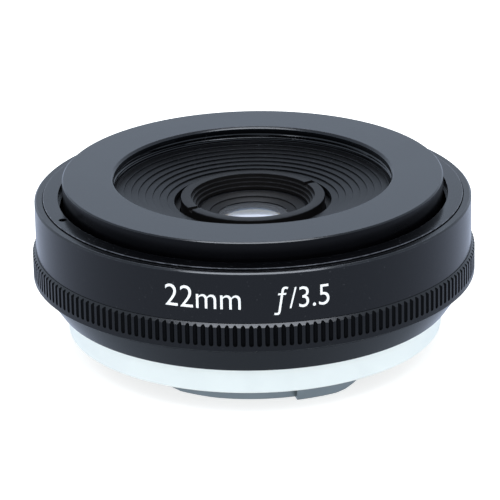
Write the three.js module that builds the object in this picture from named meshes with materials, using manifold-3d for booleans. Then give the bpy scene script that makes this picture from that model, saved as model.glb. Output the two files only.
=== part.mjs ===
// A pancake prime lens with a fixed aperture: a stack of glass in a cell that a knurled focus ring
// drives forwards through a cam. Millimetres. +Z points out of the front of the lens, and the origin
// is on the optical axis at the rear end of the bayonet. Azimuth 0 is the side towards -Y, and
// azimuth grows towards +X, which is the way a positive turn about +Z goes.
import * as THREE from 'three';
import { mergeVertices } from 'three/addons/utils/BufferGeometryUtils.js';
import Module from 'manifold-3d';

const wasm = await Module();
wasm.setup();

// ---- driving dimensions ------------------------------------------------------------------------

const GAP = 0.3;
const SHELL_SIDES = 48;
const INNER_SIDES = 32;
const GLASS_SIDES = 24;
const PIN_SIDES = 12;

// Heights along the optical axis.
const FLANGE_Z = 3.3;
const REAR_BARREL_Z = 7.32;
const FLOOR_LOW_Z = 7.6;
const FLOOR_TOP_Z = 8.9;
const REAR_BARREL_TOP_Z = 11.4;
const FOCUS_LOW_Z = 11.75;
const FOCUS_TOP_Z = 15.6;
const BODY_TOP_Z = 23.05;
const LEDGE_Z = 23.27;
const FRONT_Z = 25.97;

// Radii of the shells.
const KNURL_R = 32.0;
const BODY_R = 31.5;
const LEDGE_RING_R = 30.27;
const SLEEVE_OUT_R = 28.7;
const SLEEVE_IN_R = 27.9;
const REAR_EDGE_R = 28.54;
const PLATE_R = 27.44;
const FLANGE_R = 27.13;
const FILTER_R = 20.0;
const BOWL_R = 19.6;
const BOWL_HOLE_R = 11.35;
const EDGE = 0.3;

// Knurl on the focus ring.
const RIBS = 180;
const KNURL_DEPTH = 0.4;

// Focusing travel: a quarter turn of the ring moves the glass this far forwards.
const TURN = Math.PI / 2;
const TRAVEL = 3.0;
const FOLLOWERS = 3;
const FOLLOWER_Z = 12.4;
const FOLLOWER_R = 1.2;
const DRIVE_PIN_R = 0.9;
const DRIVE_PIN_Z = 13.3;
const DRIVE_OFFSET = THREE.MathUtils.degToRad(15);
const GUIDE_IN_R = 22.8;
const GUIDE_OUT_R = 24.2;
const CAM_IN_R = 24.5;
const CAM_OUT_R = 26.2;

// Bayonet.
const THROAT_R = 20.2;
const BAYONET_R = 21.7;
const TAB_R = 23.0;
const TABS = 3;
const TAB_FROM = THREE.MathUtils.degToRad(16);
const TAB_TO = THREE.MathUtils.degToRad(39);
const TAB_THICK = 1.6;
const RAMP_RISE = 0.5;

// Glass.
const GLASS_R = 6.9;
const BORE_R = 7.05;
const STOP_R = 3.1;

const FULL_TURN = 2 * Math.PI;

// ---- materials ---------------------------------------------------------------------------------

function paint(color, roughness, metalness) {
  return new THREE.MeshStandardMaterial({ color, roughness, metalness });
}

const blackAnodised = paint(0x24272c, 0.45, 0.6);
const frontBlack = paint(0x5f6870, 0.5, 0.3);
const mattBlack = paint(0x16171a, 0.8, 0.1);
const satinSilver = paint(0xe6ebed, 0.35, 0.8);
const greyMetal = paint(0x8b959c, 0.4, 0.9);
const steel = paint(0xb4b8bc, 0.3, 1.0);
const brass = paint(0xb59a57, 0.35, 1.0);
const spacerBlack = paint(0x1d1e20, 0.7, 0.2);
const red = paint(0xb3261e, 0.5, 0.0);
const glass = paint(0x8fa3b8, 0.05, 0.0);
glass.transparent = true;
glass.opacity = 0.4;

// ---- solids ------------------------------------------------------------------------------------

// Turns a closed three.js geometry into a solid whose faces point outwards.
function toSolid(geometry) {
  const bare = geometry.clone();
  bare.deleteAttribute('normal');
  bare.deleteAttribute('uv');
  const merged = mergeVertices(bare, 1e-4);
  const vertProperties = new Float32Array(merged.attributes.position.array);
  const triVerts = cleanTriangles(merged.index.array);
  if (signedVolume(vertProperties, triVerts) < 0) {
    triVerts.reverse();
  }
  return new wasm.Manifold(new wasm.Mesh({ numProp: 3, vertProperties, triVerts }));
}

// Leaves out triangles that have shrunk to a line, as they do where a lathe meets its axis.
function cleanTriangles(index) {
  const kept = [];
  for (let i = 0; i < index.length; i += 3) {
    const [a, b, c] = [index[i], index[i + 1], index[i + 2]];
    if (a !== b && b !== c && c !== a) {
      kept.push(a, b, c);
    }
  }
  return new Uint32Array(kept);
}

function signedVolume(positions, triangles) {
  const [a, b, c] = [new THREE.Vector3(), new THREE.Vector3(), new THREE.Vector3()];
  let total = 0;
  for (let i = 0; i < triangles.length; i += 3) {
    a.fromArray(positions, 3 * triangles[i]);
    b.fromArray(positions, 3 * triangles[i + 1]);
    c.fromArray(positions, 3 * triangles[i + 2]);
    total += a.dot(b.cross(c)) / 6;
  }
  return total;
}

function toGeometry(solid) {
  const mesh = solid.getMesh();
  const geometry = new THREE.BufferGeometry();
  geometry.setAttribute('position', new THREE.BufferAttribute(mesh.vertProperties, 3));
  geometry.setIndex(new THREE.BufferAttribute(mesh.triVerts, 1));
  geometry.computeVertexNormals();
  return geometry;
}

// A turned piece: the profile is a closed loop of [radius, height] points.
function turned(profile, sides) {
  const points = [...profile, profile[0]].map(([r, z]) => new THREE.Vector2(r, z));
  const geometry = new THREE.LatheGeometry(points, sides);
  geometry.rotateX(Math.PI / 2);
  return toSolid(geometry);
}

// A solid piece turned about its own axis: the profile runs from the axis back to the axis.
function turnedCore(profile, sides) {
  const points = profile.map(([r, z]) => new THREE.Vector2(r, z));
  const geometry = new THREE.LatheGeometry(points, sides);
  geometry.rotateX(Math.PI / 2);
  return geometry;
}

// A block bent round the optical axis, its far end raised by rise.
function arcBlock({ inner, outer, low, high, from, to, rise = 0, steps = 8 }) {
  const geometry = new THREE.BoxGeometry(1, 1, 1, steps, 1, 1);
  const position = geometry.attributes.position;
  for (let i = 0; i < position.count; i += 1) {
    const along = position.getX(i) + 0.5;
    const azimuth = from + along * (to - from);
    const radius = inner + (position.getY(i) + 0.5) * (outer - inner);
    const z = low + (position.getZ(i) + 0.5) * (high - low) + along * rise;
    position.setXYZ(i, radius * Math.sin(azimuth), -radius * Math.cos(azimuth), z);
  }
  return toSolid(geometry);
}

// Puts a piece made along +Z so that it points outwards along the radius at an azimuth.
function radial(geometry, azimuth, z) {
  const outwards = new THREE.Vector3(Math.sin(azimuth), -Math.cos(azimuth), 0);
  const up = new THREE.Vector3(0, 0, 1);
  const across = new THREE.Vector3().crossVectors(up, outwards);
  const place = new THREE.Matrix4().makeBasis(up, across, outwards).setPosition(0, 0, z);
  return toSolid(geometry.clone().applyMatrix4(place));
}

// Puts a piece made along +Z beside the axis, still pointing along +Z.
function beside(geometry, radius, azimuth, z) {
  const [x, y] = [radius * Math.sin(azimuth), -radius * Math.cos(azimuth)];
  return toSolid(geometry.clone().translate(x, y, z));
}

function rod(radius, low, high, sides = PIN_SIDES) {
  return turnedCore([[0, low], [radius, low], [radius, high], [0, high]], sides);
}

function subtractAll(solid, cutters) {
  return cutters.reduce((left, cutter) => left.subtract(cutter), solid);
}

function azimuths(count, first = 0) {
  return Array.from({ length: count }, (_, k) => first + (k * FULL_TURN) / count);
}

// Heights of a spherical glass surface, as profile points from one radius to another.
function dome(centreZ, curvature, fromRadius, toRadius, steps = 4) {
  const points = [];
  for (let i = 0; i <= steps; i += 1) {
    const r = fromRadius + ((toRadius - fromRadius) * i) / steps;
    points.push([r, centreZ - (curvature * r * r) / 2]);
  }
  return points;
}

const lens = new THREE.Group();

function add(name, solid, material) {
  const mesh = new THREE.Mesh(toGeometry(solid), material);
  mesh.name = name;
  lens.add(mesh);
}

// ---- mount: bayonet, silver ring, rear barrel --------------------------------------------------

const MOUNT_SCREW_R = 24.2;
const MOUNT_SCREWS = azimuths(4, Math.PI / 4);
const GUIDE_SCREW_R = 25.9;
const GUIDE_SCREWS = azimuths(FOLLOWERS, Math.PI / 2);
const PLATE_LOW_Z = FLANGE_Z + 0.1;
const PLATE_TOP_Z = 4.6;

// Countersunk screw driven in from behind; its head lies at z = 0.
function screwBody(length, clearance = 0) {
  const head = 1.4 + clearance;
  const shank = 0.7 + clearance;
  return turnedCore([[0, 0], [head, 0], [head, 0.2], [shank, 0.9], [shank, length], [0, length]], PIN_SIDES);
}

function screwHoles(radius, places, z, length) {
  return places.map((azimuth) => beside(screwBody(length + GAP, GAP), radius, azimuth, z));
}

function bayonetPlate() {
  const body = turned([
    [THROAT_R, 0], [BAYONET_R, 0], [BAYONET_R, PLATE_LOW_Z],
    [26.25, PLATE_LOW_Z], [26.25, PLATE_TOP_Z], [THROAT_R, PLATE_TOP_Z],
  ], SHELL_SIDES);
  const tabs = azimuths(TABS).map((turn) => arcBlock({
    inner: BAYONET_R - 0.6, outer: TAB_R, low: 0, high: TAB_THICK,
    from: turn + TAB_FROM, to: turn + TAB_TO,
  }));
  const ramps = azimuths(TABS).map((turn) => arcBlock({
    inner: THROAT_R - 1, outer: BAYONET_R + 1, low: -1 - RAMP_RISE, high: -0.01,
    from: turn - 0.12, to: turn - 0.6, rise: RAMP_RISE,
  }));
  const joined = tabs.reduce((whole, tab) => whole.add(tab), body);
  const holes = screwHoles(MOUNT_SCREW_R, MOUNT_SCREWS, PLATE_LOW_Z - 0.01, 6);
  return subtractAll(joined, [...ramps, ...holes]);
}

function mountRing() {
  const body = turned([
    [26.55, FLANGE_Z], [FLANGE_R - 0.2, FLANGE_Z], [FLANGE_R, FLANGE_Z + 0.2],
    [FLANGE_R, FLOOR_LOW_Z - 0.1], [20.3, FLOOR_LOW_Z - 0.1], [20.3, PLATE_TOP_Z + 0.1],
    [26.55, PLATE_TOP_Z + 0.1],
  ], SHELL_SIDES);
  const holes = MOUNT_SCREWS.map((azimuth) => beside(rod(1.0, 0, 10), MOUNT_SCREW_R, azimuth, 0));
  return subtractAll(body, holes);
}

function rearBarrel() {
  const body = turned([
    [27.45, REAR_BARREL_Z], [REAR_EDGE_R, REAR_BARREL_Z], [31.1, REAR_BARREL_TOP_Z - 0.3],
    [30.95, REAR_BARREL_TOP_Z], [SLEEVE_OUT_R + 0.15, REAR_BARREL_TOP_Z],
    [SLEEVE_OUT_R + 0.15, FLOOR_TOP_Z], [19.2, FLOOR_TOP_Z], [19.2, FLOOR_LOW_Z],
    [27.45, FLOOR_LOW_Z],
  ], SHELL_SIDES);
  const mountHoles = MOUNT_SCREWS.map((azimuth) => beside(rod(1.0, 0, 8.6), MOUNT_SCREW_R, azimuth, 0));
  const guideHoles = screwHoles(GUIDE_SCREW_R, GUIDE_SCREWS, FLOOR_LOW_Z - 0.01, 4);
  return subtractAll(body, [...mountHoles, ...guideHoles, indexDot(0.3, 0.25)]);
}

// The dot that lines the lens up with the camera, let into the rear barrel on its far side.
function indexDot(clearance, depth) {
  const slope = Math.atan2(31.1 - REAR_EDGE_R, REAR_BARREL_TOP_Z - 0.3 - REAR_BARREL_Z);
  const middle = (REAR_BARREL_Z + REAR_BARREL_TOP_Z - 0.3) / 2;
  const surface = (31.1 + REAR_EDGE_R) / 2;
  const disc = rod(0.8 + clearance, -0.35 - depth, 0.5 * clearance);
  disc.rotateX(-Math.PI / 2 - slope);
  disc.translate(0, surface, middle);
  return toSolid(disc);
}

function rearBaffle() {
  return turned([
    [9.8, 2.4], [19.9, 2.4], [19.9, 6.9], [19.0, 6.9], [19.0, 3.3], [9.8, 3.3],
  ], INNER_SIDES);
}

add('bayonet_plate', bayonetPlate(), greyMetal);
MOUNT_SCREWS.forEach((azimuth, k) => {
  add(`mount_screw_${k + 1}`, beside(screwBody(4.8), MOUNT_SCREW_R, azimuth, PLATE_LOW_Z + 0.05), steel);
});
add('mount_ring', mountRing(), satinSilver);
add('rear_barrel', rearBarrel(), blackAnodised);
add('index_dot', indexDot(0, 0), red);
add('rear_baffle', rearBaffle(), mattBlack);

// ---- fixed guide and outer barrel --------------------------------------------------------------

const FOLLOWER_PLACES = azimuths(FOLLOWERS, THREE.MathUtils.degToRad(30));
const DRIVE_PLACES = FOLLOWER_PLACES.map((azimuth) => azimuth + DRIVE_OFFSET);
const SLOT_HALF = FOLLOWER_R + GAP;

// Tube with straight slots: it lets the follower pins move along the axis but not round it.
function guideBarrel() {
  const foot = FLOOR_TOP_Z + 0.05;
  const body = turned([
    [GUIDE_IN_R, foot], [27.6, foot], [27.6, foot + 0.9],
    [GUIDE_OUT_R, foot + 0.9], [GUIDE_OUT_R, 19.6], [GUIDE_IN_R, 19.6],
  ], INNER_SIDES);
  const slots = FOLLOWER_PLACES.flatMap((azimuth) => {
    const half = SLOT_HALF / GUIDE_IN_R;
    const low = FOLLOWER_Z;
    const high = FOLLOWER_Z + TRAVEL;
    return [
      arcBlock({
        inner: GUIDE_IN_R - 1, outer: GUIDE_OUT_R + 1, low, high,
        from: azimuth - half, to: azimuth + half, steps: 2,
      }),
      radial(rod(SLOT_HALF, GUIDE_IN_R - 1, GUIDE_OUT_R + 1), azimuth, low),
      radial(rod(SLOT_HALF, GUIDE_IN_R - 1, GUIDE_OUT_R + 1), azimuth, high),
    ];
  });
  const threads = GUIDE_SCREWS.map((azimuth) => beside(rod(1.0, 0, 20), GUIDE_SCREW_R, azimuth, 0));
  return subtractAll(body, [...slots, ...threads]);
}

// The visible body wall and, below it, the sleeve that the focus ring turns on. The windows let the
// drive pins through the sleeve, and their ends are the stops of the focus ring.
function outerBarrel() {
  const body = turned([
    [SLEEVE_IN_R, FLOOR_TOP_Z + 0.05], [SLEEVE_OUT_R, FLOOR_TOP_Z + 0.05],
    [SLEEVE_OUT_R, FOCUS_TOP_Z + GAP], [BODY_R - EDGE, FOCUS_TOP_Z + GAP],
    [BODY_R, FOCUS_TOP_Z + GAP + EDGE], [BODY_R, BODY_TOP_Z - EDGE], [BODY_R - EDGE, BODY_TOP_Z],
    [LEDGE_RING_R + 0.1, BODY_TOP_Z], [LEDGE_RING_R + 0.1, 21.6], [SLEEVE_IN_R, 21.6],
  ], SHELL_SIDES);
  const reach = (DRIVE_PIN_R + GAP) / SLEEVE_IN_R;
  const windows = DRIVE_PLACES.map((azimuth) => arcBlock({
    inner: SLEEVE_IN_R - 1, outer: SLEEVE_OUT_R + 1,
    low: DRIVE_PIN_Z - DRIVE_PIN_R - GAP, high: DRIVE_PIN_Z + DRIVE_PIN_R + GAP,
    from: azimuth - reach, to: azimuth + TURN + reach, steps: 12,
  }));
  return subtractAll(body, windows);
}

function frontRetainingRing() {
  const [low, inner] = [21.65, 28.1];
  const body = turned([
    [inner, low], [LEDGE_RING_R, low], [LEDGE_RING_R, LEDGE_Z], [inner, LEDGE_Z],
  ], SHELL_SIDES);
  const notches = azimuths(2, THREE.MathUtils.degToRad(-69)).map((azimuth) => (
    beside(rod(0.6, LEDGE_Z - 0.8, LEDGE_Z + 1), 28.9, azimuth, 0)
  ));
  return subtractAll(body, notches);
}

add('guide_barrel', guideBarrel(), brass);
GUIDE_SCREWS.forEach((azimuth, k) => {
  add(`guide_screw_${k + 1}`, beside(screwBody(2.1), GUIDE_SCREW_R, azimuth, FLOOR_LOW_Z + 0.05), steel);
});
add('outer_barrel', outerBarrel(), blackAnodised);
add('front_retaining_ring', frontRetainingRing(), blackAnodised);
add('friction_washer', turned([
  [29.1, REAR_BARREL_TOP_Z + 0.05], [30.7, REAR_BARREL_TOP_Z + 0.05],
  [30.7, FOCUS_LOW_Z - 0.1], [29.1, FOCUS_LOW_Z - 0.1],
], INNER_SIDES), steel);

// ---- focus ring and cam ------------------------------------------------------------------------

// Ribbed ring with a smooth bore, and a groove in the bore for each drive pin.
function focusRing() {
  const outline = new THREE.Shape();
  for (let k = 0; k < 2 * RIBS; k += 1) {
    const angle = (k * Math.PI) / RIBS;
    const radius = k % 2 === 0 ? KNURL_R : KNURL_R - KNURL_DEPTH;
    const [x, y] = [radius * Math.cos(angle), radius * Math.sin(angle)];
    if (k === 0) {
      outline.moveTo(x, y);
    } else {
      outline.lineTo(x, y);
    }
  }
  outline.closePath();
  const depth = FOCUS_TOP_Z - FOCUS_LOW_Z;
  const blank = new THREE.ExtrudeGeometry(outline, { depth, bevelEnabled: false, curveSegments: 1 });
  blank.translate(0, 0, FOCUS_LOW_Z);
  const bore = toSolid(rod(SLEEVE_OUT_R + 0.25, FOCUS_LOW_Z - 1, FOCUS_TOP_Z + 1, SHELL_SIDES));
  const half = DRIVE_PIN_R + GAP;
  const grooves = DRIVE_PLACES.map((azimuth) => arcBlock({
    inner: SLEEVE_OUT_R - 1, outer: 30.6, low: FOCUS_LOW_Z - 1, high: DRIVE_PIN_Z + half,
    from: azimuth - half / 30, to: azimuth + half / 30, steps: 1,
  }));
  const chamfer = turned([
    [BODY_R, FOCUS_TOP_Z], [KNURL_R + 0.5, FOCUS_TOP_Z], [KNURL_R + 0.5, FOCUS_TOP_Z - 1],
  ], SHELL_SIDES);
  return subtractAll(toSolid(blank), [bore, ...grooves, chamfer]);
}

// Ring with one slanting slot for each follower pin: turning it raises the pins.
function camRing() {
  const body = turned([
    [CAM_IN_R, 10.2], [CAM_OUT_R, 10.2], [CAM_OUT_R, 18.6], [CAM_IN_R, 18.6],
  ], INNER_SIDES);
  const slots = FOLLOWER_PLACES.flatMap((azimuth) => [
    arcBlock({
      inner: CAM_IN_R - 1, outer: CAM_OUT_R + 1,
      low: FOLLOWER_Z - SLOT_HALF, high: FOLLOWER_Z + SLOT_HALF,
      from: azimuth, to: azimuth - TURN, rise: TRAVEL, steps: 12,
    }),
    radial(rod(SLOT_HALF, CAM_IN_R - 1, CAM_OUT_R + 1), azimuth, FOLLOWER_Z),
    radial(rod(SLOT_HALF, CAM_IN_R - 1, CAM_OUT_R + 1), azimuth - TURN, FOLLOWER_Z + TRAVEL),
  ]);
  const holes = DRIVE_PLACES.map((azimuth) => (
    radial(rod(DRIVE_PIN_R + GAP, CAM_IN_R - 1, CAM_OUT_R + 1), azimuth, DRIVE_PIN_Z)
  ));
  return subtractAll(body, [...slots, ...holes]);
}

add('focus_ring', focusRing(), blackAnodised);
add('cam_ring', camRing(), brass);
DRIVE_PLACES.forEach((azimuth, k) => {
  add(`drive_pin_${k + 1}`, radial(rod(DRIVE_PIN_R, CAM_IN_R + 0.1, 30.2), azimuth, DRIVE_PIN_Z), steel);
});

// ---- moving optical barrel ---------------------------------------------------------------------

const WEB_LOW_Z = 19.9;
const WEB_TOP_Z = 21.2;
const SKIRT_IN_R = 21.2;
const SKIRT_OUT_R = 22.5;

function lensBarrel() {
  const body = turned([
    [8.9, 9.2], [12.3, 9.2], [12.3, WEB_LOW_Z], [SKIRT_IN_R, WEB_LOW_Z], [SKIRT_IN_R, 10.2],
    [SKIRT_OUT_R, 10.2], [SKIRT_OUT_R, WEB_LOW_Z], [25.3, WEB_LOW_Z], [25.3, WEB_TOP_Z],
    [11.6, WEB_TOP_Z], [11.6, 20.6], [10.55, 20.6], [10.55, 9.9], [8.9, 9.9],
  ], INNER_SIDES);
  const holes = FOLLOWER_PLACES.map((azimuth) => (
    radial(rod(0.8 + GAP, SKIRT_IN_R - 1, SKIRT_OUT_R + 1), azimuth, FOLLOWER_Z)
  ));
  return subtractAll(body, holes);
}

function followerPin(azimuth) {
  const [foot, shoulder, tip] = [SKIRT_IN_R + 0.1, SKIRT_OUT_R + 0.15, CAM_OUT_R - 0.1];
  const profile = [
    [0, foot], [0.8, foot], [0.8, shoulder], [FOLLOWER_R, shoulder], [FOLLOWER_R, tip], [0, tip],
  ];
  return radial(turnedCore(profile, PIN_SIDES), azimuth, FOLLOWER_Z);
}

// Front plate: the broad flat ring with the filter thread, and the wall that slides in the body.
function frontPlate() {
  const wall = PLATE_R - 0.24;
  return turned([
    [FILTER_R, 24.0], [FILTER_R, FRONT_Z - EDGE], [FILTER_R + EDGE, FRONT_Z],
    [PLATE_R - EDGE, FRONT_Z], [PLATE_R, FRONT_Z - EDGE], [PLATE_R, 24.9], [wall, 24.6],
    [wall, 19.8], [25.55, 19.8], [25.55, 24.0],
  ], SHELL_SIDES);
}

// Stepped bowl that keeps stray light off the front glass.
function steppedBaffle() {
  const [steps, topZ, holeZ, lowZ] = [8, 23.9, 22.0, 21.4];
  const profile = [[BOWL_HOLE_R, lowZ], [25.2, lowZ], [25.2, topZ], [BOWL_R, topZ]];
  const width = (BOWL_R - BOWL_HOLE_R) / steps;
  const drop = (topZ - holeZ) / steps;
  for (let k = 0; k < steps; k += 1) {
    const radius = BOWL_R - k * width;
    const z = topZ - (k + 1) * drop;
    profile.push([radius, z]);
    profile.push([radius - width, z]);
  }
  return turned(profile, INNER_SIDES);
}

function lensCell() {
  return turned([
    [7.4, 4.6], [8.6, 4.6], [8.6, 10.0], [10.3, 10.0], [10.3, 19.2], [8.75, 19.2], [8.75, 20.4],
    [7.95, 20.4], [7.95, 18.8], [BORE_R, 18.8], [BORE_R, 9.4], [5.8, 9.4], [5.8, 8.7],
    [BORE_R, 8.7], [BORE_R, 5.7], [7.4, 5.7],
  ], INNER_SIDES);
}

// Threaded ring that holds the cell in the barrel. Its bore is stepped like a short funnel, and two
// slots across its face take a spanner.
function cellRetainingRing() {
  const [topR, steps, run, fall, topZ] = [8.94, 4, 0.323, 0.54, 22.7];
  const profile = [[8.95, 19.3], [10.4, 19.3], [10.4, topZ - 0.15], [10.25, topZ], [topR, topZ]];
  for (let k = 0; k < steps; k += 1) {
    const radius = topR - k * run;
    profile.push([radius, topZ - (k + 1) * fall]);
    if (k < steps - 1) {
      profile.push([radius - run, topZ - (k + 1) * fall]);
    }
  }
  profile.push([8.95, topZ - steps * fall]);
  const body = turned(profile, INNER_SIDES);
  const slots = azimuths(2, THREE.MathUtils.degToRad(-60)).map((azimuth) => arcBlock({
    inner: topR - 0.2, outer: 11, low: topZ - 0.5, high: topZ + 1,
    from: azimuth - 0.07, to: azimuth + 0.07, steps: 1,
  }));
  return subtractAll(body, slots);
}

function frontElementRing() {
  return turned([
    [5.45, 19.95], [7.05, 19.5], [7.05, 19.0], [7.8, 19.0], [7.8, 20.45], [7.55, 20.45],
    [6.3, 20.25], [6.25, 20.1], [5.45, 20.05],
  ], INNER_SIDES);
}

function rearElementRing() {
  const body = turned([[5.9, 4.7], [7.2, 4.7], [7.2, 5.55], [5.9, 5.55]], INNER_SIDES);
  const slots = azimuths(2, Math.PI / 2).map((azimuth) => arcBlock({
    inner: 5, outer: 7.5, low: 4, high: 5.1, from: azimuth - 0.08, to: azimuth + 0.08, steps: 1,
  }));
  return subtractAll(body, slots);
}

function element(rearCentreZ, rearCurvature, frontCentreZ, frontCurvature) {
  const rear = dome(rearCentreZ, rearCurvature, 0, GLASS_R);
  const front = dome(frontCentreZ, frontCurvature, GLASS_R, 0);
  return toSolid(turnedCore([...rear, ...front], GLASS_SIDES));
}

function spacer(low, high, inner = 5.9) {
  return turned([[inner, low], [GLASS_R, low], [GLASS_R, high], [inner, high]], GLASS_SIDES);
}

add('lens_barrel', lensBarrel(), mattBlack);
FOLLOWER_PLACES.forEach((azimuth, k) => add(`follower_pin_${k + 1}`, followerPin(azimuth), steel));
add('front_plate', frontPlate(), frontBlack);
add('stepped_baffle', steppedBaffle(), mattBlack);
add('lens_cell', lensCell(), mattBlack);
add('cell_retaining_ring', cellRetainingRing(), blackAnodised);
add('front_element_ring', frontElementRing(), blackAnodised);
add('front_element', element(17.3, 0, 20.6, 0.0538), glass);
add('front_spacer', spacer(14.7, 17.2), spacerBlack);
add('middle_element', element(12.8, 0.034, 13.8, -0.034), glass);
add('rear_spacer', spacer(9.85, 11.9), spacerBlack);
add('aperture_stop', spacer(9.45, 9.75, STOP_R), spacerBlack);
add('rear_element', element(5.25, -0.04, 8.6, 0.025), glass);
add('rear_element_ring', rearElementRing(), blackAnodised);

export default lens;
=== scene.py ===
# The looks of a pancake prime lens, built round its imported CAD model.
# Lengths are millimetres unless a name ends in _M. Azimuth 0 is the side towards -Y and grows
# towards +X. The radii and heights that show come from the CAD nodes' boxes; corners are
# (radius, height) or (radius, height, cut), where cut is the length of the corner's bend.
import math

import bmesh
import bpy
from mathutils import Matrix, Vector


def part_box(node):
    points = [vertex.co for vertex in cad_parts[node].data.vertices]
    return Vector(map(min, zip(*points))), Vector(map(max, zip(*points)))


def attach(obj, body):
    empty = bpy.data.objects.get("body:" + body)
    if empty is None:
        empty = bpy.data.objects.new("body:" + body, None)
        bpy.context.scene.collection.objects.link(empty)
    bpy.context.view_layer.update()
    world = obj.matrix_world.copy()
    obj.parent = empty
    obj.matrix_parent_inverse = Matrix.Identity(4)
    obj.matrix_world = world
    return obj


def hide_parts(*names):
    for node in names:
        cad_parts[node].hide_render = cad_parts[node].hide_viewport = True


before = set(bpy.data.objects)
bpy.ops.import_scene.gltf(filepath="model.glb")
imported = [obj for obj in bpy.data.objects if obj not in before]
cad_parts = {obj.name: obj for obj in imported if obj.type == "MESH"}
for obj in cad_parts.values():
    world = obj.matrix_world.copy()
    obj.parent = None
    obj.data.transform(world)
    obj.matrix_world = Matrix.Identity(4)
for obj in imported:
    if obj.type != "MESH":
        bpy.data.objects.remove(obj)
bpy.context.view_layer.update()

MM = 0.001
FULL_TURN = 2 * math.pi
SIDES = 256
TINY = 1e-6
SHARP_ANGLE = math.radians(35)


def low(node):
    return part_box(node)[0].z / MM


def top(node):
    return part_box(node)[1].z / MM


def reach(node):
    """Outer radius of a turned CAD node."""
    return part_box(node)[1].x / MM


# ---- driving dimensions -------------------------------------------------------------------------

BODY_R = reach("outer_barrel")
BODY_LOW = top("focus_ring") + 0.04
BODY_TOP = top("outer_barrel")
SLEEVE_LOW = low("outer_barrel")
SLEEVE_IN_R = 27.9
SLEEVE_OUT_R = 28.7
LEDGE_TOP = top("front_retaining_ring")
LEDGE_R = reach("front_retaining_ring")
DISC_R = reach("front_plate")
DISC_TOP = top("front_plate")
DISC_LOW = low("front_plate")
FILTER_R = 20.0
BOWL_R = 19.6
BOWL_HOLE_R = 11.35
BOWL_TOP = top("stepped_baffle")
BOWL_LOW = low("stepped_baffle")
KNURL_R = reach("focus_ring")
KNURL_LOW = low("focus_ring")
KNURL_TOP = top("focus_ring")
CELL_TOP = top("cell_retaining_ring")
FLANGE_Z = low("mount_ring")
FLANGE_R = reach("mount_ring")
THROAT_R = 20.2
BAYONET_R = 21.7
PLATE_TOP = top("bayonet_plate")
PLATE_R = 26.25
TAB_R = 23.0
MOUNT_SCREW_R = 24.2
GLASS_R = 6.9


# ---- materials ----------------------------------------------------------------------------------


class Paint:
    """A material under construction: its nodes, its links and its shader."""

    def __init__(self, name):
        self.material = bpy.data.materials.new(name)
        self.material.use_nodes = True
        self.tree = self.material.node_tree
        self.shader = self.tree.nodes["Principled BSDF"]
        coordinates = self.tree.nodes.new("ShaderNodeTexCoord")
        scaled = self.tree.nodes.new("ShaderNodeVectorMath")
        scaled.operation = "SCALE"
        self.tree.links.new(coordinates.outputs["Object"], scaled.inputs[0])
        scaled.inputs["Scale"].default_value = 1 / MM
        self.place = scaled.outputs["Vector"]

    def feed(self, socket, value):
        if isinstance(value, bpy.types.NodeSocket):
            self.tree.links.new(value, socket)
        else:
            socket.default_value = value

    def math(self, operation, *values):
        node = self.tree.nodes.new("ShaderNodeMath")
        node.operation = operation
        for socket, value in zip(node.inputs, values):
            self.feed(socket, value)
        return node.outputs["Value"]

    def noise(self, scale, detail=2.0, vector=None, distortion=0.0):
        node = self.tree.nodes.new("ShaderNodeTexNoise")
        self.feed(node.inputs["Vector"], vector or self.place)
        node.inputs["Scale"].default_value = scale
        node.inputs["Detail"].default_value = detail
        node.inputs["Distortion"].default_value = distortion
        return node.outputs["Fac"]

    def turned_place(self):
        """The place as (radius, height), so that a noise of it runs round the axis."""
        flat = self.tree.nodes.new("ShaderNodeVectorMath")
        flat.operation = "MULTIPLY"
        self.feed(flat.inputs[0], self.place)
        flat.inputs[1].default_value = (1, 1, 0)
        length = self.tree.nodes.new("ShaderNodeVectorMath")
        length.operation = "LENGTH"
        self.feed(length.inputs[0], flat.outputs["Vector"])
        split = self.tree.nodes.new("ShaderNodeSeparateXYZ")
        self.feed(split.inputs[0], self.place)
        joined = self.tree.nodes.new("ShaderNodeCombineXYZ")
        self.feed(joined.inputs["X"], length.outputs["Value"])
        self.feed(joined.inputs["Y"], split.outputs["Z"])
        return joined.outputs["Vector"]

    def ramp(self, value, start, end, to_low=0.0, to_high=1.0):
        node = self.tree.nodes.new("ShaderNodeMapRange")
        self.feed(node.inputs["Value"], value)
        node.inputs["From Min"].default_value = start
        node.inputs["From Max"].default_value = end
        node.inputs["To Min"].default_value = to_low
        node.inputs["To Max"].default_value = to_high
        return node.outputs["Result"]

    def mix(self, share, first, second):
        node = self.tree.nodes.new("ShaderNodeMix")
        node.data_type = "RGBA"
        self.feed(node.inputs[0], share)
        self.feed(node.inputs[6], first)
        self.feed(node.inputs[7], second)
        return node.outputs[2]

    def bump(self, height):
        """Height is in millimetres."""
        node = self.tree.nodes.new("ShaderNodeBump")
        node.inputs["Strength"].default_value = 1.0
        node.inputs["Distance"].default_value = MM
        self.feed(node.inputs["Height"], height)
        self.feed(self.shader.inputs["Normal"], node.outputs["Normal"])

    def attribute(self, name):
        node = self.tree.nodes.new("ShaderNodeAttribute")
        node.attribute_name = name
        return node.outputs["Fac"]


def shade(colour, factor):
    return (*(min(1.0, channel * factor) for channel in colour), 1.0)


BROAD_SCALE = 0.16
SCUFF_SCALE = 1.1
SPECK_SCALE = 2.3
DUST_GREY = (0.55, 0.56, 0.58, 1.0)
DUST_ROUGHNESS = 0.4


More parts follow.
